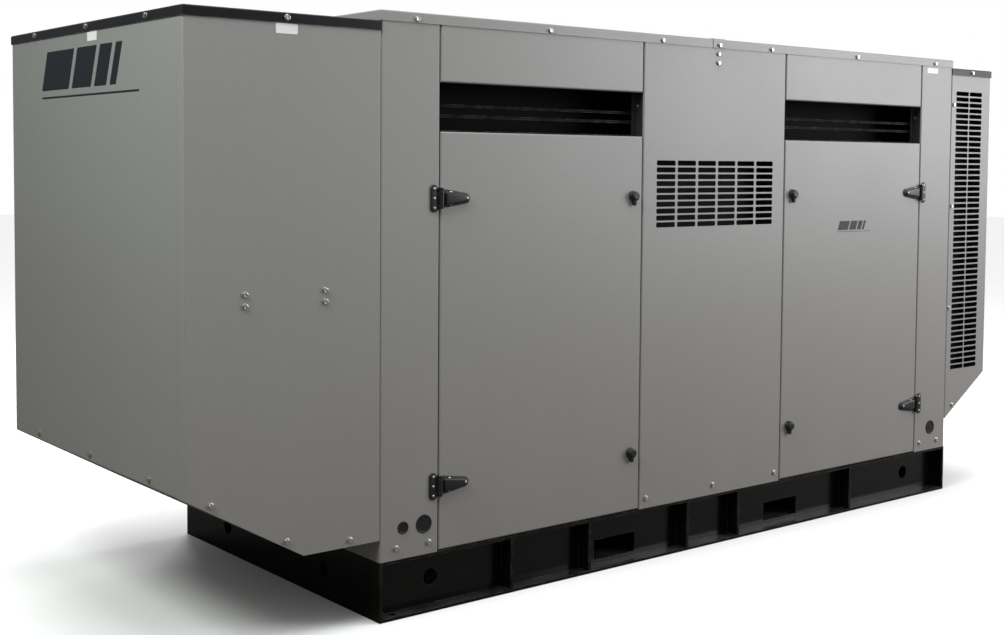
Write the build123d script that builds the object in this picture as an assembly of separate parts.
from build123d import *
import math
import os

# Home standby generator: a sheet-metal enclosure on a channel skid, with the engine and alternator inside.
# Millimetres, +Z up. X runs along the set, with the radiator end at -X, and the service front faces -Y.
# The origin is on the floor under the middle of the whole set.
# Left and right are seen from the front. The rear side mirrors the front.

# ---- Overall sizes ----
body_length = 2750.0
body_width = 1219.0
overall_height = 1740.0
skid_height = 175.0
post_width = 203.0
centre_width = 704.0
left_hood_depth = 600.0
right_hood_depth = 275.0

# ---- Sheet metal ----
sheet = 2.0
bend = 3.0                  # radius inside a bend
seam = 3.0                  # gap around a door
lap_gap = 0.5               # gap between a lid's skirt and the wall that it laps
fascia_depth = 32.0
intake_height = 139.0       # open slot over each door
header_height = 164.0       # fixed panel over each intake slot
door_depth = 28.0
seal_space = 5.0            # room for the door's seal
lip = 22.0                  # flange that the door closes against
corner_return = 60.0
scoop_depth = 70.0          # room between a slotted panel and the baffle behind it

# ---- Skid ----
channel_flange = 53.0
channel_web = 6.0
flange_thickness = 9.0
end_plate = 8.0
rib = 10.0
rib_stations = (485.0, 806.0, 1256.0, 1512.0, 2141.0)
fork_offset = 416.0         # fork pocket from the middle of the body
fork_width = 184.0
fork_height = 66.0
fork_floor = 22.0
fork_wall = 5.0
lift_offset = 1165.0        # lifting hole from the middle of the body
lift_radius = 25.0
anchor_inset = 60.0
anchor_radius = 9.0
beam_width = 60.0
beam_depth = 80.0
beam_wall = 5.0
tray = 3.0
tray_inset = 40.0
upstand = 60.0
stub_up = (2250.0, 2600.0, 200.0)    # cable opening in the floor: two stations and half its width

# ---- Door furniture ----
furniture_heights = (1209.0, 370.0)
hinge_leaf = 5.0
hinge_standoff = 8.0
knuckle_radius = 7.5
pin_radius = 3.5
pin_clearance = 0.05
plate_width = 25.0
plate_height = 80.0
knuckle_split = 20.0        # half the height of the strap's knuckle space
strap_reach = 107.0
latch_inset = 42.0
knob_radius = 20.0
shaft_radius = 7.0
turn_clearance = 0.3
cam_thickness = 5.0
cam_width = 16.0
cam_hook = 12.0             # how far the turned cam reaches over the lip
cam_space = 4.0

# ---- Hoods: floor outlines as (distance out from the body's end, height) ----
left_floor = ((0.0, 240.0), (249.0, 240.0), (left_hood_depth, 440.0))
right_floor = ((0.0, 287.0), (right_hood_depth, 461.0))
cap_skirt = 28.0
hood_return = 35.0
hood_flange = 30.0
floor_flange = 40.0         # upturned edge of a hood's floor against the body
grille_slot = (230.0, 18.0)
grille_rows = 25
grille_pitch = 42.0

# ---- Slotted vents ----
slot_length = 88.0
slot_height = 17.0
slot_corner = 5.0
slot_pitch_z = 22.7
panel_slot_pitch = 98.0
panel_slot_columns = 6
panel_slot_rows = 10
panel_slot_bottom = 1104.0
hood_slot_pitch = 94.0
hood_slot_columns = 2
hood_slot_rows = 50
hood_slot_bottom = 486.0
hood_slot_centre = 124.0    # middle of the hood's slots, out from the body

# ---- Fasteners and plugs ----
bolt_radius = 4.0
bolt_washer_radius = 9.0
bolt_washer = 1.5
bolt_head = 5.0
bolt_across = 13.0
bolt_length = 9.0
hole_clearance = 0.5
plug_height = 265.0
plug_rim = 3.0
plug_lap = 2.5              # how far a plug's rim covers the sheet around its hole

# ---- Engine and alternator ----
crank_height = 560.0
shaft = 35.0
bearing_clearance = 0.05
engine_front = 330.0
engine_rear = 1100.0
block_half_width = 170.0
block_floor = 430.0
block_top = 800.0
pan_floor = 300.0
head_height = 100.0
cover_height = 60.0
mount_height = 60.0
mount_radius = 34.0
foot = 12.0
foot_reach = 300.0
mount_offset = 255.0
engine_mount_station = 480.0
alternator_mount_station = 1700.0
alternator_rear = 1900.0
housing_radius = 205.0
housing_wall = 18.0
housing_fins = 24
stator_radius = 150.0
rotor_radius = 142.0
rotor_stations = (1270.0, 1730.0)
flywheel_radius = 170.0
casting_wall = 16.0

# ---- Cooling ----
core_thickness = 70.0
core_half_width = 350.0
core_floor = 420.0
core_top = 1150.0
tank_height = 75.0
side_frame = 25.0
wall_opening_margin = 20.0
air_half_width = 350.0      # air opening in the right end wall
air_heights = (560.0, 1500.0)
wall_joint = 400.0          # where the right end wall's two sheets meet
shroud_depth = 75.0
shroud_wall = 3.0
fan_height = 760.0
fan_radius = 275.0
fan_tip_gap = 14.0
fan_station = 195.0
fan_blades = 7
hub_radius = 70.0
crank_pulley_radius = 90.0
fan_pulley_radius = 75.0
pulley_station = 250.0
pulley_width = 26.0
belt_width = 18.0
belt_thickness = 9.0
belt_gap = 0.3

# ---- Exhaust ----
pipe_radius = 30.0
pipe_height = 1400.0
pipe_side = -230.0
pipe_station = 640.0
muffler_out = 300.0
muffler_radius = 110.0
muffler_half_length = 400.0
pipe_hole_clearance = 8.0

# ---- Controls, battery and fuel ----
cabinet_stations = (1960.0, 2380.0)
cabinet_heights = (860.0, 1240.0)
cabinet_front = -430.0
cabinet_depth = 190.0
cabinet_wall = 2.5
breaker_stations = (2050.0, 2250.0)
breaker_heights = (560.0, 800.0)
handle_station = 2150.0
handle_height = 680.0
handle_hub = 14.0
handle_width = 14.0
handle_reach = 62.0
handle_slot = 50.0          # half the height of the slot that the lever moves in
stop_station = 2300.0
stop_height = 960.0
stop_radius = 20.0
stop_stem = 8.0
stop_travel = 6.0
battery_station = 2210.0
battery_size = (260.0, 175.0, 210.0)
battery_side = -395.0
fuel_side = 400.0
fuel_height = 230.0
fuel_bore = 21.0
fuel_wall = 6.0
coupling_length = 50.0
regulator_station = 2150.0
regulator_radius = 65.0
mixer_station = 900.0
mixer_height = 870.0
mixer_face = 300.0

# ---- Worked out from the sizes above ----
x_left = -(body_length + right_hood_depth - left_hood_depth) / 2
x_right = x_left + body_length
x_centre = (x_left + x_right) / 2
y_front = -body_width / 2
door_width = (body_length - 2 * post_width - centre_width) / 2
door_x0 = x_left + post_width
door_x1 = door_x0 + door_width
strap_sheet = sheet
roof_top = overall_height - strap_sheet
wall_top = roof_top - sheet - bend
fascia_bottom = overall_height - fascia_depth
header_bottom = fascia_bottom - header_height
door_top = header_bottom - intake_height
jamb = door_depth + seal_space
hinge_x = door_x0 + seam / 2
hinge_y = y_front - hinge_standoff
latch_x = door_x1 - seam - latch_inset
roof_face = y_front - lap_gap - sheet
web_face = y_front + channel_flange - channel_web
beam_half_length = -(web_face + channel_web)
cap_top = fascia_bottom - 1.0
cap_bottom = cap_top - cap_skirt
hood_top = cap_top - sheet - bend
plug_holes = ((152.0, 25.0, "left"), (79.0, 16.0, "left"), (100.0, 25.0, "right"))   # inset, radius, side
fascia_bolt_stations = [body_length / 2 + side * reach for side in (-1, 1) for reach in (270, 756, 1254)]
panel_bolt_height = skid_height + 33.0
post_bolt_insets = (54.0, 169.0)
centre_bolt_reach = centre_width / 2 - 30.0
hood_bolt_reach = 400.0
body_middle = Plane.YZ.offset(x_centre)


# ---- Small makers ----
def slab(x, y, z):
    """A block between pairs of limits."""
    limits = (x, y, z)
    middle = [(low + high) / 2 for low, high in limits]
    return Pos(*middle) * Box(*[high - low for low, high in limits])


def rod(start, end, radius):
    """A round bar from one point to another."""
    reach = Vector(*end) - Vector(*start)
    return extrude(Plane(origin=start, z_dir=reach) * Circle(radius), amount=reach.length)


def both_sides(part):
    """A front piece and its mirror image at the rear."""
    return [part, mirror(part, about=Plane.XZ)]


def four_corners(part):
    """A front-left piece and its three mirror images."""
    return [copy for half in (part, mirror(part, about=body_middle)) for copy in both_sides(half)]


def station(distance):
    """X at a distance along the body from its left end."""
    return x_left + distance


def heading(start, end):
    """Unit direction from one outline point to the next."""
    du, dv = end[0] - start[0], end[1] - start[1]
    length = math.hypot(du, dv)
    return du / length, dv / length


def offset_outline(points, distance):
    """An open outline moved to its left, with mitred corners."""
    steps = [heading(a, b) for a, b in zip(points, points[1:])]
    moved = []
    for index, (u, v) in enumerate(points):
        before = steps[max(index - 1, 0)]
        after = steps[min(index, len(steps) - 1)]
        scale = distance / (1 + before[0] * after[0] + before[1] * after[1])
        moved.append((u - (before[1] + after[1]) * scale, v + (before[0] + after[0]) * scale))
    return moved


def bent_section(points, thickness=sheet):
    """Section of a sheet bent along an open outline, with the sheet on the outline's left."""
    steps = [heading(a, b) for a, b in zip(points, points[1:])]
    left_turns = [a[0] * b[1] - a[1] * b[0] > 0 for a, b in zip(steps, steps[1:])]
    outer = [bend + thickness if left else bend for left in left_turns]
    inner = [bend if left else bend + thickness for left in left_turns]
    radii = [0, *outer, 0, 0, *inner[::-1], 0]
    outline = [*points, *offset_outline(points, thickness)[::-1]]
    return make_face(FilletPolyline(*outline, radius=radii, close=True))


def plan_sheet(points, low, high):
    """A sheet bent in plan, standing between two heights."""
    return Pos(0, 0, low) * extrude(bent_section(points), amount=high - low)


def side_plate(points, y, thickness=sheet):
    """A flat plate with a side-view outline, from y inwards."""
    face = make_face(Polyline(*points, close=True))
    return Pos(0, y + thickness, 0) * extrude(Plane.XZ * face, amount=thickness)


def pan(x, z, y, depth):
    """A shallow tray of sheet, open to the rear, with rounded front edges."""
    outer = slab(x, (y, y + depth), z)
    outer = fillet(outer.faces().sort_by(Axis.Y)[0].edges(), bend + sheet)
    inner = slab((x[0] + sheet, x[1] - sheet), (y + sheet, y + depth + 1), (z[0] + sheet, z[1] - sheet))
    return outer - fillet(inner.faces().sort_by(Axis.Y)[0].edges(), bend)


def slots(centre_x, bottom, columns, rows, pitch_x):
    """Cutters for a field of round-ended slots in a front panel."""
    middle = bottom + slot_height / 2 + (rows - 1) * slot_pitch_z / 2
    plane = Plane(origin=(centre_x, y_front, middle), x_dir=(1, 0, 0), z_dir=(0, -1, 0))
    places = GridLocations(pitch_x, slot_pitch_z, columns, rows)
    outlines = plane * places * RectangleRounded(slot_length, slot_height, slot_corner)
    return [extrude(outline, amount=3 * sheet, both=True) for outline in outlines]


# ---- Fasteners: each place is the point on the surface and the direction that the head faces ----
def side_bolt_places():
    """Bolts through the front face, as points and outward directions."""
    places = [(station(at), roof_face, fascia_bottom + 10) for at in fascia_bolt_stations]
    places += [(x_centre, roof_face - strap_sheet, fascia_bottom + 10)]
    for inset in post_bolt_insets:
        places += [(station(at), y_front, panel_bolt_height) for at in (inset, body_length - inset)]
    places += [(x_centre + reach, y_front, panel_bolt_height)
               for reach in (-centre_bolt_reach, 0, centre_bolt_reach)]
    places += [(x_centre, y_front, fascia_bottom - drop) for drop in (20, 50)]
    places += [(x_left - out, y_front, height) for out in (426, 182) for height in (962, 931)]
    places += [(x_left - out, y_front, height) for out, height in ((526, 418), (302, 288), (101, 259))]
    places += [(x_left - left_hood_depth / 2, roof_face, cap_bottom + cap_skirt / 2)]
    places += [(x_right + 14, y_front, height) for height in (1561, 1153, 739)]
    places += [(x_right + 50, y_front, 340)]
    places += [(x_right + right_hood_depth / 2, roof_face, cap_bottom + cap_skirt / 2)]
    return [(place, (0, -1, 0)) for place in places]


def end_bolt_places(end_x, low_end, direction):
    """Bolts through a hood's end face and its cap."""
    cap_face = end_x + direction * (lap_gap + sheet)
    rows = ((cap_face, cap_bottom + cap_skirt / 2), (end_x, low_end + 20))
    return [((x, side * hood_bolt_reach, z), (direction, 0, 0)) for x, z in rows for side in (-1, 0, 1)]


def bolt(place, outward):
    """A flanged hex bolt with its head on the surface."""
    plane = Plane(origin=place, z_dir=outward)
    washer = extrude(plane * Circle(bolt_washer_radius), amount=bolt_washer)
    head_plane = plane.offset(bolt_washer)
    head = extrude(head_plane * RegularPolygon(bolt_across / 2, 6, major_radius=False), amount=bolt_head)
    return washer + head + extrude(plane * Circle(bolt_radius), amount=-bolt_length)


def drilled(part, places):
    """A part with clearance holes for the bolts that pass through its box."""
    box = part.bounding_box()
    cutters = []
    for place, outward in places:
        at, out = Vector(*place), Vector(*outward)
        inner, outer_end = at - out * bolt_length * 1.5, at + out * 2
        near = [box.min.X - 4 <= at.X <= box.max.X + 4, box.min.Y - 12 <= at.Y <= box.max.Y + 12,
                box.min.Z <= at.Z <= box.max.Z]
        if all(near):
            cutters.append(rod(tuple(inner), tuple(outer_end), bolt_radius + hole_clearance))
    return part - cutters if cutters else part


front_bolts = side_bolt_places()
rear_bolts = [((x, -y, z), (0, 1, 0)) for (x, y, z), _ in front_bolts]
left_end_bolts = end_bolt_places(x_left - left_hood_depth, left_floor[-1][1], -1)
right_end_bolts = end_bolt_places(x_right + right_hood_depth, right_floor[-1][1], 1)
all_bolts = front_bolts + rear_bolts + left_end_bolts + right_end_bolts


# ---- Skid ----
def skid_rail():
    """Front rail: an outward channel with fork pockets, lifting and anchor holes, and welded ribs."""
    x = (x_left + end_plate, x_right - end_plate)
    flange_y = (y_front, web_face + channel_web)
    web = slab(x, (web_face, web_face + channel_web), (0, skid_height))
    lower = slab(x, flange_y, (0, flange_thickness))
    upper = slab(x, flange_y, (skid_height - flange_thickness, skid_height))
    channel = web + lower + upper
    through = (web_face - 1, web_face + channel_web + 1)
    for side in (-1, 1):
        at = x_centre + side * fork_offset
        channel -= slab((at - fork_width / 2, at + fork_width / 2), through,
                        (fork_floor, fork_floor + fork_height))
        lift_x = x_centre + side * lift_offset
        lift_z = skid_height / 2
        channel -= rod((lift_x, through[0], lift_z), (lift_x, through[1], lift_z), lift_radius)
        anchor_x = x_centre + side * (body_length / 2 - anchor_inset)
        anchor_y = y_front + channel_flange / 2 - channel_web / 2
        channel -= rod((anchor_x, anchor_y, -1), (anchor_x, anchor_y, flange_thickness + 1), anchor_radius)
    ribs = [slab((station(at) - rib / 2, station(at) + rib / 2), (y_front, web_face),
                 (flange_thickness, skid_height - flange_thickness)) for at in rib_stations]
    return [channel, *ribs]


def skid_end():
    """Left end plate with two towing holes."""
    plate = slab((x_left, x_left + end_plate), (y_front, -y_front), (0, skid_height))
    for side in (-1, 1):
        y = side * body_width / 4
        start, end = (x_left - 1, y, skid_height / 2), (x_left + end_plate + 1, y, skid_height / 2)
        plate -= rod(start, end, lift_radius)
    return plate


def box_tube(x, z, wall):
    """A rectangular tube across the skid between the rails, with outer limits in X and Z."""
    y = (-beam_half_length, beam_half_length)
    inner_x, inner_z = (x[0] + wall, x[1] - wall), (z[0] + wall, z[1] - wall)
    return slab(x, y, z) - slab(inner_x, (y[0] - 1, y[1] + 1), inner_z)


def crossmembers():
    """Box beams behind the ribs, and the two fork tubes."""
    beams = [box_tube((station(at) - beam_width / 2, station(at) + beam_width / 2),
                      (skid_height - beam_depth, skid_height), beam_wall) for at in rib_stations]
    half = fork_width / 2 + fork_wall
    tubes = [box_tube((x_centre + side * fork_offset - half, x_centre + side * fork_offset + half),
                      (fork_floor - fork_wall, fork_floor + fork_height + fork_wall), fork_wall)
             for side in (-1, 1)]
    return beams + tubes


def floor_tray():
    """Floor sheet with upstands behind the fixed side panels and an opening for cables from below."""
    z = (skid_height, skid_height + tray)
    body = slab((x_left + sheet, x_right - sheet), (y_front + tray_inset, -y_front - tray_inset), z)
    margin = sheet + bend + 1
    spans = ((x_left + margin, door_x0 - margin), (door_x1 + margin, 2 * x_centre - door_x1 - margin),
             (2 * x_centre - door_x0 + margin, x_right - margin))
    face = y_front + sheet
    for span in spans:
        tab = slab(span, (face, y_front + tray_inset), z)
        tab += slab(span, (face, face + tray), (skid_height, skid_height + upstand))
        for copy in both_sides(tab):
            body += copy
    first, last, half = stub_up
    opening = slab((station(first), station(last)), (-half, half), (z[0] - 1, z[1] + 1))
    return drilled(body - opening, all_bolts)


# ---- Enclosure ----
def corner_post():
    """Front-left post: side face, end return, door jamb and the lip that the door closes on."""
    points = [(x_left, y_front + corner_return), (x_left, y_front), (door_x0, y_front),
              (door_x0, y_front + jamb), (door_x0 + lip, y_front + jamb)]
    return plan_sheet(points, skid_height, wall_top)


def with_plug_holes(post, side):
    """A front post with its knock-out holes."""
    for inset, radius, where in plug_holes:
        if where == side:
            x = station(inset) if side == "left" else x_right - inset
            post -= rod((x, y_front - 1, plug_height), (x, y_front + sheet + 1, plug_height), radius)
    return post


def centre_panel():
    """Fixed panel between the doors, with its field of slots."""
    far = 2 * x_centre - door_x1
    points = [(door_x1 - lip, y_front + jamb), (door_x1, y_front + jamb), (door_x1, y_front),
              (far, y_front), (far, y_front + jamb), (far + lip, y_front + jamb)]
    panel = plan_sheet(points, skid_height, wall_top)
    cutters = slots(x_centre, panel_slot_bottom, panel_slot_columns, panel_slot_rows, panel_slot_pitch)
    return panel - cutters


def header_panel():
    """Fixed pan over the front-left intake slot."""
    return pan((door_x0 + seam, door_x1 - seam), (header_bottom, wall_top), y_front, jamb)


def intake_baffle():
    """Trough behind the front-left intake slot: sill, back, cheeks and two rain ledges."""
    front, back = y_front + jamb + sheet, y_front + 150
    x, top = (door_x0, door_x1), header_bottom + 40
    trough = slab(x, (front, back), (door_top, door_top + sheet))
    trough += slab(x, (back - sheet, back), (door_top, top))
    for edge in (x[0], x[1] - sheet):
        trough += slab((edge, edge + sheet), (front, back), (door_top, top))
    for height in (door_top + 40, door_top + 70):
        trough += slab(x, (front + 8, front + 38), (height, height + sheet))
        trough += slab(x, (front + 8, front + 8 + sheet), (height, height + 8))
    return trough


def vent_scoop():
    """Box behind the front panel's slots, open at the top."""
    half = panel_slot_columns * panel_slot_pitch / 2 + 10
    x = (x_centre - half, x_centre + half)
    y = (y_front + sheet, y_front + scoop_depth)
    z = (panel_slot_bottom - 20, panel_slot_bottom + panel_slot_rows * slot_pitch_z + 30)
    room = slab((x[0] + sheet, x[1] - sheet), (y[0] - 1, y[1] - sheet), (z[0] + sheet, z[1] + 1))
    return slab(x, y, z) - room


def hood_splitter():
    """Plate behind the front slots of the right hood, standing off the hood's end."""
    face = y_front + scoop_depth
    out = x_right + right_hood_depth - sheet
    bottom = right_floor[-1][1] + 10
    return slab((x_right + 10, out), (face, face + sheet), (bottom, hood_top - 40))


def roof_panel():
    """Left half of the roof, with its fascia on three sides."""
    x = (x_left - lap_gap - sheet, x_centre - 1)
    outer = slab(x, (roof_face, -roof_face), (fascia_bottom, roof_top))
    rims = outer.faces().sort_by(Axis.Z)[-1].edges().sort_by(Axis.X)[:-1]
    outer = fillet(rims, bend + sheet)
    inner = slab((x[0] + sheet, x[1] + 1), (roof_face + sheet, -roof_face - sheet),
                 (fascia_bottom - 1, roof_top - sheet))
    rims = inner.faces().sort_by(Axis.Z)[-1].edges().sort_by(Axis.X)[:-1]
    return drilled(outer - fillet(rims, bend), all_bolts)


def roof_joint_strap():
    """Strap over the joint between the roof panels, folded down over both fascias."""
    x = (x_centre - 30, x_centre + 30)
    y = roof_face - strap_sheet
    outer = slab(x, (y, -y), (fascia_bottom, overall_height))
    tops = outer.faces().sort_by(Axis.Z)[-1].edges().filter_by(Axis.X)
    inner = slab((x[0] - 1, x[1] + 1), (roof_face, -roof_face), (fascia_bottom - 1, roof_top))
    bottoms = inner.faces().sort_by(Axis.Z)[-1].edges().filter_by(Axis.X)
    return drilled(fillet(tops, bend + 2 * sheet) - fillet(bottoms, bend + sheet), all_bolts)


def end_wall():
    """Left end wall between the corner posts' returns."""
    half = body_width / 2 - corner_return - 1
    return slab((x_left, x_left + sheet), (-half, half), (skid_height, wall_top))


def radiator_wall():
    """Left end wall with the radiator's opening and the exhaust hole."""
    half = core_half_width - wall_opening_margin
    wall = end_wall() - slab((x_left - 1, x_left + sheet + 1), (-half, half),
                             (core_floor + wall_opening_margin, core_top - wall_opening_margin))
    start, end = (x_left - 1, pipe_side, pipe_height), (x_left + sheet + 1, pipe_side, pipe_height)
    return wall - rod(start, end, pipe_radius + pipe_hole_clearance)


def intake_wall():
    """Right end wall in two sheets: the upper with the air opening, the lower with the coupling's hole."""
    wall = mirror(end_wall(), about=body_middle)
    x = (x_right - sheet - 1, x_right + 1)
    half = body_width / 2
    joint = slab(x, (-half, half), (wall_joint, wall_joint + lap_gap))
    opening = slab(x, (-air_half_width, air_half_width), air_heights)
    start, end = (x[0], fuel_side, fuel_height), (x[1], fuel_side, fuel_height)
    return wall - joint - opening - rod(start, end, fuel_bore + fuel_wall + lap_gap)


def hood_outline(floor):
    """Side view of a hood that grows to the left of the body."""
    depth = floor[-1][0]
    return [(x_left - out, z) for out, z in floor] + [(x_left - depth, hood_top), (x_left, hood_top)]


def hood_side(floor):
    """Front side of a left-hand hood, folded at both ends and cut to the hood's outline."""
    depth = floor[-1][0]
    end_x = x_left - depth
    points = [(end_x, y_front + hood_return), (end_x, y_front), (x_left, y_front),
              (x_left, y_front + hood_flange)]
    folded = plan_sheet(points, floor[0][1], hood_top)
    part = folded & side_plate(hood_outline(floor), y_front - 1, 2 * hood_return)
    room = slab((x_left - 2 * sheet - bend, x_left + 1),
                (y_front + sheet + lap_gap / 2, y_front + hood_flange + 1),
                (floor[0][1] - 1, floor[0][1] + floor_flange + bend + sheet))
    return part - room


def hood_end(floor):
    """End and floor of a left-hand hood in one bent sheet that fits between the sides."""
    depth, low_end = floor[-1]
    end_x = x_left - depth
    points = [(end_x, hood_top), *[(x_left - out, z) for out, z in floor[::-1]],
              (x_left, floor[0][1] + floor_flange)]
    half = body_width / 2 - sheet - lap_gap
    part = extrude(Plane.XZ * bent_section(points), amount=half, both=True)
    notch = slab((end_x - 1, end_x + sheet + lap_gap), (y_front, y_front + hood_return + lap_gap),
                 (low_end - 6, hood_top + 1))
    return part - both_sides(notch)


def hood_cap(floor):
    """Lid over a left-hand hood, with a skirt on three sides."""
    end_x = x_left - floor[-1][0]
    outer = slab((end_x - lap_gap - sheet, x_left), (roof_face, -roof_face), (cap_bottom, cap_top))
    rims = outer.faces().sort_by(Axis.Z)[-1].edges().sort_by(Axis.X)[:-1]
    outer = fillet(rims, bend + sheet)
    inner = slab((end_x - lap_gap, x_left + 1), (roof_face + sheet, -roof_face - sheet),
                 (cap_bottom - 1, cap_top - sheet))
    rims = inner.faces().sort_by(Axis.Z)[-1].edges().sort_by(Axis.X)[:-1]
    return outer - fillet(rims, bend)


def discharge_slots():
    """Cutters for the two rows of air slots in the left cap."""
    plane = Plane(origin=(x_left - left_hood_depth / 2, 0, cap_top))
    places = GridLocations(left_hood_depth / 2 - 20, grille_pitch, 2, grille_rows)
    outlines = plane * places * SlotOverall(*grille_slot)
    return [extrude(outline, amount=3 * sheet, both=True) for outline in outlines]


def knockout_plug(x, radius):
    """A push-in plug in a front post."""
    rim = rod((x, y_front, plug_height), (x, y_front - plug_rim, plug_height), radius + plug_lap)
    rim = fillet(rim.faces().sort_by(Axis.Y)[0].edges(), plug_rim / 2)
    body_end = (x, y_front + 2 * sheet, plug_height)
    return rim + rod((x, y_front, plug_height), body_end, radius - turn_clearance)


# ---- Doors ----
def door():
    """Front-left door: a pan with holes for the latch shafts."""
    skin = pan((door_x0 + seam, door_x1 - seam), (skid_height + seam, door_top - seam), y_front, door_depth)
    for height in furniture_heights:
        ends = (latch_x, y_front - 1, height), (latch_x, y_front + door_depth, height)
        skin -= rod(*ends, shaft_radius + turn_clearance)
    return skin


def knuckle(low, high):
    """A hinge barrel between two heights."""
    return rod((hinge_x, hinge_y, low), (hinge_x, hinge_y, high), knuckle_radius)


def pin_bore(low, high):
    """Cutter for the pin's bore."""
    return rod((hinge_x, hinge_y, low), (hinge_x, hinge_y, high), pin_radius + pin_clearance)


def hinge_plate(height):
    """Fixed leaf on the post with its two knuckles, and the pin through them."""
    half = plate_height / 2
    inner_x = hinge_x - knuckle_radius - 2
    leaf = slab((inner_x - plate_width, inner_x), (y_front - hinge_leaf, y_front),
                (height - half, height + half))
    leaf = fillet(leaf.edges().filter_by(Axis.Y), plate_width * 0.4)
    arm_y = (y_front - hinge_leaf, y_front - lap_gap)
    for low, high in ((height - half, height - knuckle_split), (height + knuckle_split, height + half)):
        leaf += slab((inner_x - plate_width / 2, hinge_x), arm_y, (low, high))
        leaf += knuckle(low, high)
    leaf -= pin_bore(height - half - 1, height + half + 1)
    pin = rod((hinge_x, hinge_y, height - half), (hinge_x, hinge_y, height + half), pin_radius)
    for end, way in ((height - half, -1), (height + half, 1)):
        pin += rod((hinge_x, hinge_y, end), (hinge_x, hinge_y, end + way * 3), pin_radius * 1.6)
    return [leaf, pin]


def hinge_strap(height):
    """Moving leaf on the door: a tapered strap with one knuckle."""
    near, tip = knuckle_radius + 2, 13.0
    reach = strap_reach - tip
    root = plate_height / 2 - 10
    outline = Polygon((near, -root), (reach, -tip), (reach, tip), (near, root), align=None)
    outline += Pos(reach, 0) * Circle(tip)
    leaf = extrude(Plane.XZ * outline, amount=hinge_leaf)
    leaf = Pos(hinge_x, y_front, height) * leaf
    half = knuckle_split - lap_gap
    leaf += slab((hinge_x, hinge_x + 2 * near), (y_front - hinge_leaf, y_front - lap_gap),
                 (height - half, height + half))
    leaf += knuckle(height - half, height + half)
    return leaf - pin_bore(height - half - 1, height + half + 1)


def latch(height):
    """Quarter-turn latch in its open position: knob, tail, shaft and cam."""
    face = y_front - turn_clearance
    knob = rod((latch_x, face, height), (latch_x, face - 6, height), knob_radius)
    dome = rod((latch_x, face - 6, height), (latch_x, face - 20, height), knob_radius * 0.8)
    knob += fillet(dome.faces().sort_by(Axis.Y)[0].edges(), 5)
    knob += slab((latch_x - 6, latch_x + 6), (face - 14, face - 4), (height - knob_radius * 1.7, height))
    cam_face = y_front + jamb + sheet + cam_space
    knob += rod((latch_x, face, height), (latch_x, cam_face + cam_thickness, height), shaft_radius)
    reach = seam + latch_inset - lip + cam_hook
    half = cam_width / 2
    return knob + slab((latch_x - half, latch_x + half), (cam_face, cam_face + cam_thickness),
                       (height - half, height + reach))


# ---- Engine ----
def foot_bracket(at, half_length, side_y, top):
    """Feet on both sides at a station: sole plates on the mounts and webs up to the body."""
    sole_z = skid_height + tray + mount_height
    x = (station(at) - half_length, station(at) + half_length)
    foot_part = slab(x, (-foot_reach, -side_y), (sole_z, sole_z + foot))
    foot_part += slab(x, (-side_y - foot, -side_y), (sole_z, top))
    return both_sides(foot_part)


def engine_block():
    """Cylinder block with ribs, front cover, fan bearing and mounting feet, bored for the crankshaft."""
    x = (station(engine_front), station(engine_rear))
    block = slab(x, (-block_half_width, block_half_width), (block_floor, block_top))
    block = fillet(block.edges().filter_by(Axis.X), 20)
    for index in range(5):
        at = x[0] + 90 + index * 150
        block += slab((at, at + 20), (-block_half_width - 8, block_half_width + 8),
                      (block_floor + 40, block_top - 40))
    cover = slab((x[0] - 30, x[0] + 1), (-130, 130), (block_floor + 20, block_top - 20))
    block += fillet(cover.edges().filter_by(Axis.X), 30)
    block += rod((x[0], 0, fan_height), (x[0] - 45, 0, fan_height), 45)
    for bracket in foot_bracket(engine_mount_station, 45, block_half_width, block_floor + 80):
        block += bracket
    inner_half = block_half_width - casting_wall
    block -= slab((x[0] + casting_wall, x[1] - casting_wall), (-inner_half, inner_half),
                  (block_floor - 1, block_top - casting_wall))
    block -= rod((x[0] - 50, 0, crank_height), (x[1] + 1, 0, crank_height), shaft + bearing_clearance)
    return block - rod((x[0] - 50, 0, fan_height), (x[0] + 60, 0, fan_height), 14 + bearing_clearance)


def cylinder_head():
    """Cylinder head and valve cover with its oil filler cap."""
    x = (station(engine_front + 10), station(engine_rear - 10))
    head = slab(x, (-120, 120), (block_top, block_top + head_height))
    top = block_top + head_height
    cover = slab((x[0] + 20, x[1] - 20), (-95, 95), (top, top + cover_height))
    cover = fillet(cover.edges().filter_by(Axis.Z) + cover.faces().sort_by(Axis.Z)[-1].edges(), 18)
    head += cover
    filler = x[0] + 130
    head += rod((filler, 0, top + cover_height - 1), (filler, 0, top + cover_height + 12), 24)
    for index in range(4):
        at = x[0] + 150 + index * 150
        head += rod((at, 94, top + 20), (at, 110, top + 20), 16)
    inside = slab((x[0] + 40, x[1] - 40), (-75, 75), (block_top - 1, top + cover_height - 6))
    return head - inside


def oil_pan():
    """Oil pan with a deep sump at the rear, a flange and a drain plug."""
    x = (station(engine_front + 30), station(engine_rear - 30))
    flange_part = slab(x, (-block_half_width + 10, block_half_width - 10), (block_floor - 12, block_floor))
    shallow = slab((x[0] + 15, x[1] - 15), (-140, 140), (block_floor - 60, block_floor - 12))
    sump = slab((x[0] + 300, x[1] - 15), (-140, 140), (pan_floor, block_floor - 12))
    sump = fillet(sump.edges().filter_by(Axis.Z) + sump.faces().sort_by(Axis.Z)[0].edges(), 16)
    drain = station(engine_rear - 200)
    oil_side = flange_part + shallow + sump + rod((drain, 0, pan_floor + 1), (drain, 0, pan_floor - 10), 14)
    oil_side -= slab((x[0] + 20, x[1] - 20), (-135, 135), (block_floor - 55, block_floor + 1))
    return oil_side - slab((x[0] + 305, x[1] - 20), (-135, 135), (pan_floor + 5, block_floor + 1))


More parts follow.
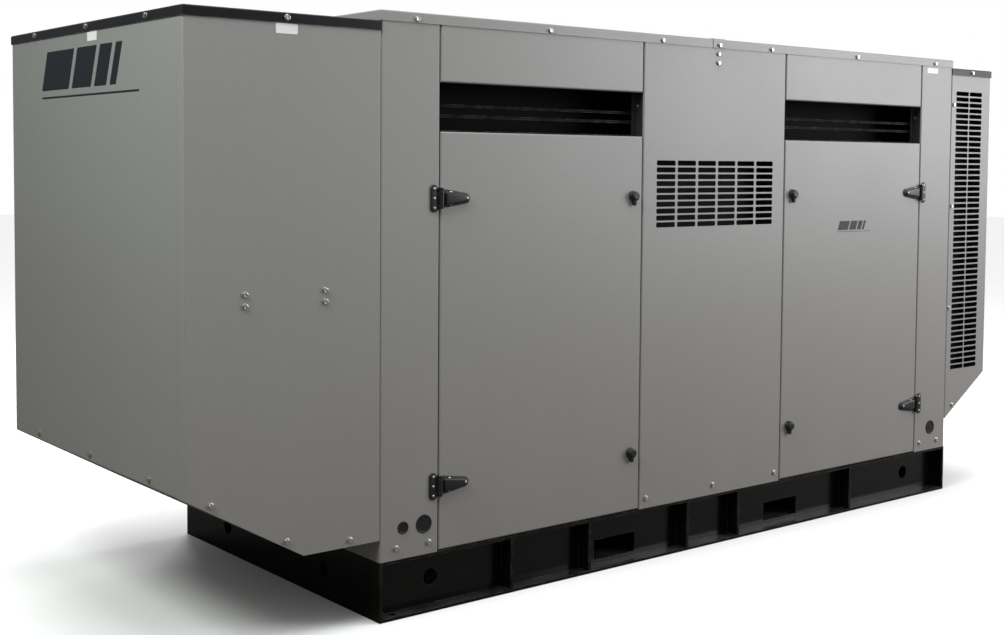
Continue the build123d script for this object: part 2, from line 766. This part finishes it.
def air_cleaner():
    """Round air cleaner over the rear side of the engine, with its duct to the cylinder head."""
    at, side, height = station(mixer_station), 250.0, 1010.0
    canister = rod((at - 130, side, height), (at + 130, side, height), 85)
    canister = fillet(canister.edges().filter_by(GeomType.CIRCLE), 10)
    for offset in (-95, 95):
        canister += rod((at + offset - 6, side, height), (at + offset + 6, side, height), 88)
    duct_x = station(mixer_station)
    duct = rod((duct_x, side, height), (duct_x, side, mixer_height - 38), 38)
    inlet_boss = rod((duct_x, side, mixer_height), (duct_x, mixer_face, mixer_height), 24)
    return canister + duct + inlet_boss + rod((duct_x, side, mixer_height), (duct_x, 120, mixer_height), 38)


def exhaust_pipe():
    """Exhaust log on the front side of the head, its riser and the pipe through the wall to the muffler."""
    log_z = block_top + head_height / 2
    first, last = station(engine_front + 90), station(engine_rear - 90)
    log = rod((first, -160, log_z), (last, -160, log_z), 26)
    for index in range(4):
        at = first + 40 + index * 170
        log += rod((at, -120, log_z), (at, -160, log_z), 20)
    corner_radius = 2.5 * pipe_radius
    riser_x = station(pipe_station)
    muffler_skin = x_left - muffler_out + muffler_radius - 3
    corners = ((riser_x, -160, log_z), (riser_x, pipe_side, log_z), (riser_x, pipe_side, pipe_height),
               (muffler_skin, pipe_side, pipe_height))
    path = FilletPolyline(*corners, radius=[pipe_radius * 1.4, corner_radius])
    start = Plane(origin=(riser_x, -160, log_z), z_dir=(0, -1, 0))
    pipe = sweep(start * Circle(pipe_radius), path=path)
    muffler_body = rod((x_left - muffler_out, -muffler_half_length, pipe_height),
                       (x_left - muffler_out, muffler_half_length, pipe_height), muffler_radius)
    return log + pipe - muffler_body


def muffler():
    """Round muffler across the left hood, with end rims, saddles and a tail pipe under the cap's slots."""
    x = x_left - muffler_out
    body = rod((x, -muffler_half_length, pipe_height), (x, muffler_half_length, pipe_height), muffler_radius)
    for side in (-1, 1):
        end = side * muffler_half_length
        body += rod((x, end, pipe_height), (x, end - side * 12, pipe_height), muffler_radius + 4)
    tail_y = muffler_half_length * 0.6
    body += rod((x, tail_y, pipe_height), (x, tail_y, cap_bottom - 10), pipe_radius)
    body -= rod((x, 10 - muffler_half_length, pipe_height), (x, muffler_half_length - 10, pipe_height),
                muffler_radius - 3)
    body -= rod((x, tail_y, pipe_height), (x, tail_y, cap_bottom), pipe_radius - 3)
    for side in (-1, 1):
        y = side * muffler_half_length * 0.8
        saddle_top = pipe_height - muffler_radius + 4
        body += slab((x, x_left), (y - 20, y + 20), (saddle_top - 10, saddle_top))
        body += slab((x_left - 5, x_left), (y - 20, y + 20), (saddle_top - 94, saddle_top))
    return body


def crankshaft_rotor():
    """Crankshaft, front pulley, flywheel and alternator rotor, which turn as one."""
    first, last = station(pulley_station) - pulley_width, station(alternator_rear) - 2
    turning = rod((first, 0, crank_height), (last, 0, crank_height), shaft)
    turning += pulley(crank_height, crank_pulley_radius)
    turning += rod((station(engine_rear + 20), 0, crank_height), (station(engine_rear + 60), 0, crank_height),
                   flywheel_radius)
    for index in range(4):
        pole = slab((station(rotor_stations[0]), station(rotor_stations[1])), (-45, 45),
                    (crank_height + shaft - 5, crank_height + rotor_radius - 6))
        turning += pole.rotate(Axis((0, 0, crank_height), (1, 0, 0)), 90 * index)
    for at, way in zip(rotor_stations, (20, -20)):
        turning += rod((station(at), 0, crank_height), (station(at + way), 0, crank_height), rotor_radius)
    return turning


def pulley(height, radius):
    """A flanged pulley on a shaft along X."""
    half = pulley_width / 2
    x = station(pulley_station)
    wheel = rod((x - half, 0, height), (x + half, 0, height), radius)
    for side in (-1, 1):
        inner = x + side * (belt_width / 2 + 1)
        wheel += rod((inner, 0, height), (inner + side * 3, 0, height), radius + 10)
    return wheel


def cooling_fan():
    """Fan with twisted blades, hub, shaft and pulley."""
    x = station(fan_station)
    fan = rod((x - 30, 0, fan_height), (x + 30, 0, fan_height), hub_radius)
    fan += rod((x, 0, fan_height), (station(engine_front) + 50, 0, fan_height), 14)
    fan += pulley(fan_height, fan_pulley_radius)
    blade = Box(4, 95, fan_radius - hub_radius + 8)
    blade = Pos(0, 0, (fan_radius + hub_radius - 8) / 2) * Rot(0, 0, 32) * blade
    ring = rod((x - 60, 0, fan_height), (x + 60, 0, fan_height), fan_radius)
    for index in range(fan_blades):
        turned = blade.rotate(Axis.X, 360 * index / fan_blades)
        fan += (Pos(x, 0, fan_height) * turned) & ring
    return fan


def fan_belt():
    """Belt around the crank and fan pulleys: its two wraps joined by their outer tangents."""
    inner = belt_hull(belt_gap)
    outer = belt_hull(belt_gap + belt_thickness)
    plane = Plane(origin=(station(pulley_station) - belt_width / 2, 0, 0), x_dir=(0, 1, 0), z_dir=(1, 0, 0))
    return extrude(plane * (outer - inner), amount=belt_width)


def belt_hull(extra):
    """Face around both pulleys, held off them by a gap."""
    big = crank_pulley_radius + extra
    small = fan_pulley_radius + extra
    rise = fan_height - crank_height
    tilt = math.asin((big - small) / rise)
    edges = [(way * radius * math.cos(tilt), height + radius * math.sin(tilt))
             for way in (1, -1) for radius, height in ((big, crank_height), (small, fan_height))]
    band = Polygon(edges[0], edges[1], edges[3], edges[2], align=None)
    return band + Pos(0, crank_height) * Circle(big) + Pos(0, fan_height) * Circle(small)


def alternator_housing():
    """Housing with stator, end bracket, top terminal box, feet and the bell around the flywheel."""
    first, last, axis = station(engine_rear), station(alternator_rear), crank_height
    shell = rod((first, 0, axis), (last, 0, axis), housing_radius)
    shell = fillet(shell.faces().sort_by(Axis.X)[-1].edges(), 15)
    crown = axis + housing_radius
    for index in range(housing_fins):
        fin = slab((first + 130, last - 60), (-5, 5), (crown - 4, crown + 10))
        shell += fin.rotate(Axis((0, 0, axis), (1, 0, 0)), 360 / housing_fins * index)
    box_x = (first + 330, first + 640)
    shell += slab(box_x, (-150, 150), (crown - 60, crown + 110))
    for bracket in foot_bracket(alternator_mount_station, 40, housing_radius - 40, axis):
        shell += bracket
    shell -= slab((box_x[0] + 4, box_x[1] - 4), (-146, 146), (crown + 4, crown + 106))
    shell -= slab((first + 400, first + 500), (-30, 30), (axis + stator_radius - 10, crown + 5))
    room = housing_radius - housing_wall
    stator = [station(at) for at in (rotor_stations[0] - 10, rotor_stations[1] + 10)]
    shell -= rod((first - 1, 0, axis), (stator[0], 0, axis), room)
    shell -= rod((stator[0] - 1, 0, axis), (stator[1] + 1, 0, axis), stator_radius)
    shell -= rod((stator[1], 0, axis), (last - 20, 0, axis), room)
    return shell - rod((last - 30, 0, axis), (last + 1, 0, axis), shaft + bearing_clearance)


def engine_mounts():
    """Four rubber mounts between the floor and the feet."""
    places = [(station(at), side * mount_offset) for at in (engine_mount_station, alternator_mount_station)
              for side in (-1, 1)]
    low = skid_height + tray
    rubber = []
    for x, y in places:
        body = rod((x, y, low), (x, y, low + mount_height), mount_radius)
        waist = Pos(x, y, low + mount_height / 2) * Torus(mount_radius + 4, 10)
        rubber.append(body - waist)
    return rubber


# ---- Radiator ----
def radiator():
    """Core with tanks, side frames on the floor and filler neck, and the shroud around the fan."""
    x = (x_left + sheet, x_left + sheet + core_thickness)
    core = slab((x[0] + 5, x[1] - 5), (-core_half_width, core_half_width), (core_floor, core_top))
    for low, high in ((core_floor - tank_height, core_floor), (core_top, core_top + tank_height)):
        tank = slab(x, (-core_half_width, core_half_width), (low, high))
        core += fillet(tank.edges().filter_by(Axis.Y), 12)
    frame_limits = (skid_height + tray, core_top + tank_height)
    for side in both_sides(slab(x, (-core_half_width - side_frame, -core_half_width), frame_limits)):
        core += side
    neck_x, neck_foot = x[0] + core_thickness / 2, core_top + tank_height - 1
    core += rod((neck_x, 150, neck_foot), (neck_x, 150, neck_foot + 31), 24)
    front, half = x[1], core_half_width
    height = (fan_height - 360, fan_height + 360)
    box = slab((front, front + shroud_depth), (-half, half), height)
    inside = slab((front - 1, front + shroud_depth - shroud_wall), (-half + shroud_wall, half - shroud_wall),
                  (height[0] + shroud_wall, height[1] - shroud_wall))
    ring = fan_radius + fan_tip_gap
    lip_end = front + shroud_depth + 60
    throat = (front + shroud_depth - 1, 0, fan_height), (lip_end, 0, fan_height)
    shroud = box - inside + rod(*throat, ring + shroud_wall)
    shroud -= rod((front + 1, 0, fan_height), (lip_end + 1, 0, fan_height), ring)
    return [core, shroud]


# ---- Controls, battery and fuel ----
def control_cabinet():
    """Control cabinet on two uprights, open behind its front where the stop button works, and the breaker."""
    x = [station(at) for at in cabinet_stations]
    y = (cabinet_front, cabinet_front + cabinet_depth)
    z = cabinet_heights
    wall = cabinet_wall
    box = fillet(slab(x, y, z).edges().filter_by(Axis.Y), 6)
    box -= slab((x[0] + wall, x[1] - wall), (y[0] + wall, y[1] - wall), (z[0] + wall, z[1] - wall))
    window_x = (x[0] + 50, x[0] + 230)
    box += slab(window_x, (y[0] - 6, y[0] + 1), (z[1] - 170, z[1] - 50))
    for row in range(2):
        for column in range(5):
            key = (x[0] + 60 + column * 36, z[0] + 110 + row * 40)
            box += rod((key[0], y[0] + 1, key[1]), (key[0], y[0] - 3, key[1]), 11)
    stop_x = station(stop_station)
    stem = (stop_x, y[0] - 8, stop_height), (stop_x, y[0] + wall + 1, stop_height)
    box -= rod(*stem, stop_stem + turn_clearance)
    for edge in (x[0], x[1] - 40):
        box += slab((edge, edge + 40), (y[1], y[1] + 40), (skid_height + tray, z[1]))
    return [box, breaker()]


def breaker():
    """Main breaker on a plate between the uprights, hollow behind the slot for its handle."""
    x = [station(at) for at in breaker_stations]
    y = (cabinet_front, cabinet_front + cabinet_depth)
    z = breaker_heights
    wall = cabinet_wall
    body = fillet(slab(x, y, z).edges().filter_by(Axis.Y), 8)
    body += slab([station(at) for at in cabinet_stations], (y[1] - 2 * wall, y[1]), z)
    body -= slab((x[0] + 2 * wall, x[1] - 2 * wall), (y[0] + wall, y[1] - 2 * wall),
                 (z[0] + 2 * wall, z[1] - 2 * wall))
    half = handle_width / 2 + 1
    at = station(handle_station)
    return body - slab((at - half, at + half), (y[0] - 1, y[0] + wall + 1),
                       (handle_height - handle_slot, handle_height + handle_slot))


def breaker_handle():
    """Toggle lever, set up at 25 degrees, on a hub inside the breaker."""
    pivot = (station(handle_station), cabinet_front + 25, handle_height)
    half = handle_width / 2
    hub = rod((pivot[0] - half, pivot[1], pivot[2]), (pivot[0] + half, pivot[1], pivot[2]), handle_hub)
    lever = slab((-half, half), (-handle_reach, 0), (-7, 7))
    lever = fillet(lever.faces().sort_by(Axis.Y)[0].edges().filter_by(Axis.X), 5)
    return hub + Pos(*pivot) * (Rot(-25, 0, 0) * lever)


def e_stop_button():
    """Mushroom head on a stem through the cabinet's front."""
    x, z, face = station(stop_station), stop_height, cabinet_front - stop_travel - 2
    head = rod((x, face, z), (x, face - 14, z), stop_radius)
    head = fillet(head.faces().sort_by(Axis.Y)[0].edges(), 6)
    return head + rod((x, face, z), (x, cabinet_front + cabinet_wall + 30, z), stop_stem)


def battery():
    """Battery with a lid, two posts and a hold-down bar."""
    length, width, height = battery_size
    x, y, z = station(battery_station), battery_side, skid_height + tray
    case = slab((x - length / 2, x + length / 2), (y - width / 2, y + width / 2), (z, z + height - 30))
    case = fillet(case.edges().filter_by(Axis.Z), 6)
    lid = slab((x - length / 2 - 2, x + length / 2 + 2), (y - width / 2 - 2, y + width / 2 + 2),
               (z + height - 30, z + height))
    case += fillet(lid.edges().filter_by(Axis.Z) + lid.faces().sort_by(Axis.Z)[-1].edges(), 5)
    for side in (-1, 1):
        case += rod((x + side * 95, y - 55, z + height - 1), (x + side * 95, y - 55, z + height + 18), 9)
    return case


def fuel_regulator():
    """Fuel coupling at the right end, pipe, gas regulator and supply pipe to the mixer."""
    y, z = fuel_side, fuel_height
    outer = fuel_bore + fuel_wall
    inner_end = x_right - coupling_length
    coupling = rod((inner_end, y, z), (x_right, y, z), outer)
    coupling -= rod((inner_end + 10, y, z), (x_right + 1, y, z), fuel_bore)
    at = station(regulator_station)
    line = coupling + rod((at, y, z), (inner_end + 1, y, z), 17)
    line += rod((at, y, z), (at, y, z + 60), 30)
    for low, high, radius in ((60, 78, regulator_radius), (78, 84, regulator_radius + 6),
                              (84, 110, regulator_radius), (110, 150, 28)):
        line += rod((at, y, z + low), (at, y, z + high), radius)
    corner = 60.0
    end_x = station(mixer_station)
    path = FilletPolyline((at, y, z + 30), (end_x, y, z + 30), (end_x, y, mixer_height),
                          (end_x, mixer_face, mixer_height), radius=[corner, corner])
    pipe = sweep(Plane(origin=(at, y, z + 30), z_dir=(-1, 0, 0)) * Circle(17), path=path)
    foot_part = slab((at - 60, at + 60), (y - 45, y + 45), (skid_height + tray, skid_height + tray + 6))
    return line + pipe + foot_part + rod((at, y, skid_height + tray + 5), (at, y, z), 20)


# ---- The nodes ----
def group(parts):
    """Separate solids kept in one node."""
    return Compound(children=[solid for part in parts for solid in part.solids()])


def build_nodes():
    """Every node by name."""
    nodes = {}
    rail = skid_rail()
    nodes["skid_rail_front"] = group(rail)
    nodes["skid_rail_rear"] = group([mirror(part, about=Plane.XZ) for part in rail])
    nodes["skid_end_plates"] = group([skid_end(), mirror(skid_end(), about=body_middle)])
    nodes["skid_crossmembers"] = group(crossmembers())
    nodes["floor_tray"] = floor_tray()

    left_post = corner_post()
    right_post = mirror(left_post, about=body_middle)
    for side, post in (("left", left_post), ("right", right_post)):
        front, rear = both_sides(with_plug_holes(post, side))
        nodes[f"corner_post_front_{side}"] = drilled(front, front_bolts)
        nodes[f"corner_post_rear_{side}"] = drilled(rear, rear_bolts)
    front, rear = both_sides(centre_panel())
    nodes["centre_panel_front"] = drilled(front, front_bolts)
    nodes["centre_panel_rear"] = drilled(rear, rear_bolts)
    nodes["header_panels"] = group([drilled(part, all_bolts) for part in four_corners(header_panel())])
    baffles = [copy for part in (vent_scoop(), hood_splitter()) for copy in both_sides(part)]
    nodes["air_baffles"] = group(four_corners(intake_baffle()) + baffles)
    nodes["roof_panel_left"] = roof_panel()
    nodes["roof_panel_right"] = mirror(roof_panel(), about=body_middle)
    nodes["roof_joint_strap"] = roof_joint_strap()
    nodes["end_wall_left"] = radiator_wall()
    nodes["end_wall_right"] = group([intake_wall()])

    nodes["hood_left_sides"] = group([drilled(part, all_bolts) for part in both_sides(hood_side(left_floor))])
    nodes["hood_left_end"] = drilled(hood_end(left_floor), left_end_bolts)
    nodes["hood_left_cap"] = drilled(hood_cap(left_floor) - discharge_slots(), all_bolts)
    vented = mirror(hood_side(right_floor), about=body_middle)
    vented -= slots(x_right + hood_slot_centre, hood_slot_bottom, hood_slot_columns, hood_slot_rows,
                    hood_slot_pitch)
    nodes["hood_right_sides"] = group([drilled(part, all_bolts) for part in both_sides(vented)])
    nodes["hood_right_end"] = drilled(mirror(hood_end(right_floor), about=body_middle), right_end_bolts)
    nodes["hood_right_cap"] = drilled(mirror(hood_cap(right_floor), about=body_middle), all_bolts)

    plugs = [knockout_plug(station(inset) if side == "left" else x_right - inset, radius)
             for inset, radius, side in plug_holes]
    nodes["knockout_plugs"] = group([copy for plug in plugs for copy in both_sides(plug)])
    nodes["panel_bolts"] = group([bolt(place, outward) for place, outward in all_bolts])

    plates = [part for height in furniture_heights for part in hinge_plate(height)]
    nodes["hinge_plates"] = group([copy for part in plates for copy in four_corners(part)])
    corners = ("front_left", "rear_left", "front_right", "rear_right")
    doors = four_corners(door())
    straps = [four_corners(hinge_strap(height)) for height in furniture_heights]
    latches = [four_corners(latch(height)) for height in furniture_heights]
    for index, corner in enumerate(corners):
        nodes[f"door_{corner}"] = doors[index]
        nodes[f"hinge_straps_{corner}"] = group([copies[index] for copies in straps])
        nodes[f"latch_{corner}_upper"] = latches[0][index]
        nodes[f"latch_{corner}_lower"] = latches[1][index]

    nodes["engine_block"] = engine_block()
    nodes["cylinder_head"] = cylinder_head()
    nodes["oil_pan"] = oil_pan()
    nodes["air_cleaner"] = air_cleaner()
    nodes["exhaust_pipe"] = exhaust_pipe()
    nodes["muffler"] = muffler()
    nodes["radiator"] = group(radiator())
    nodes["cooling_fan"] = cooling_fan()
    nodes["fan_belt"] = fan_belt()
    nodes["crankshaft_rotor"] = crankshaft_rotor()
    nodes["alternator_housing"] = alternator_housing()
    nodes["engine_mounts"] = group(engine_mounts())
    nodes["control_cabinet"] = group(control_cabinet())
    nodes["e_stop_button"] = e_stop_button()
    nodes["breaker_handle"] = breaker_handle()
    nodes["battery"] = battery()
    nodes["fuel_regulator"] = fuel_regulator()
    return nodes


os.makedirs("parts", exist_ok=True)
for name, shape in build_nodes().items():
    export_step(shape, f"parts/{name}.step")
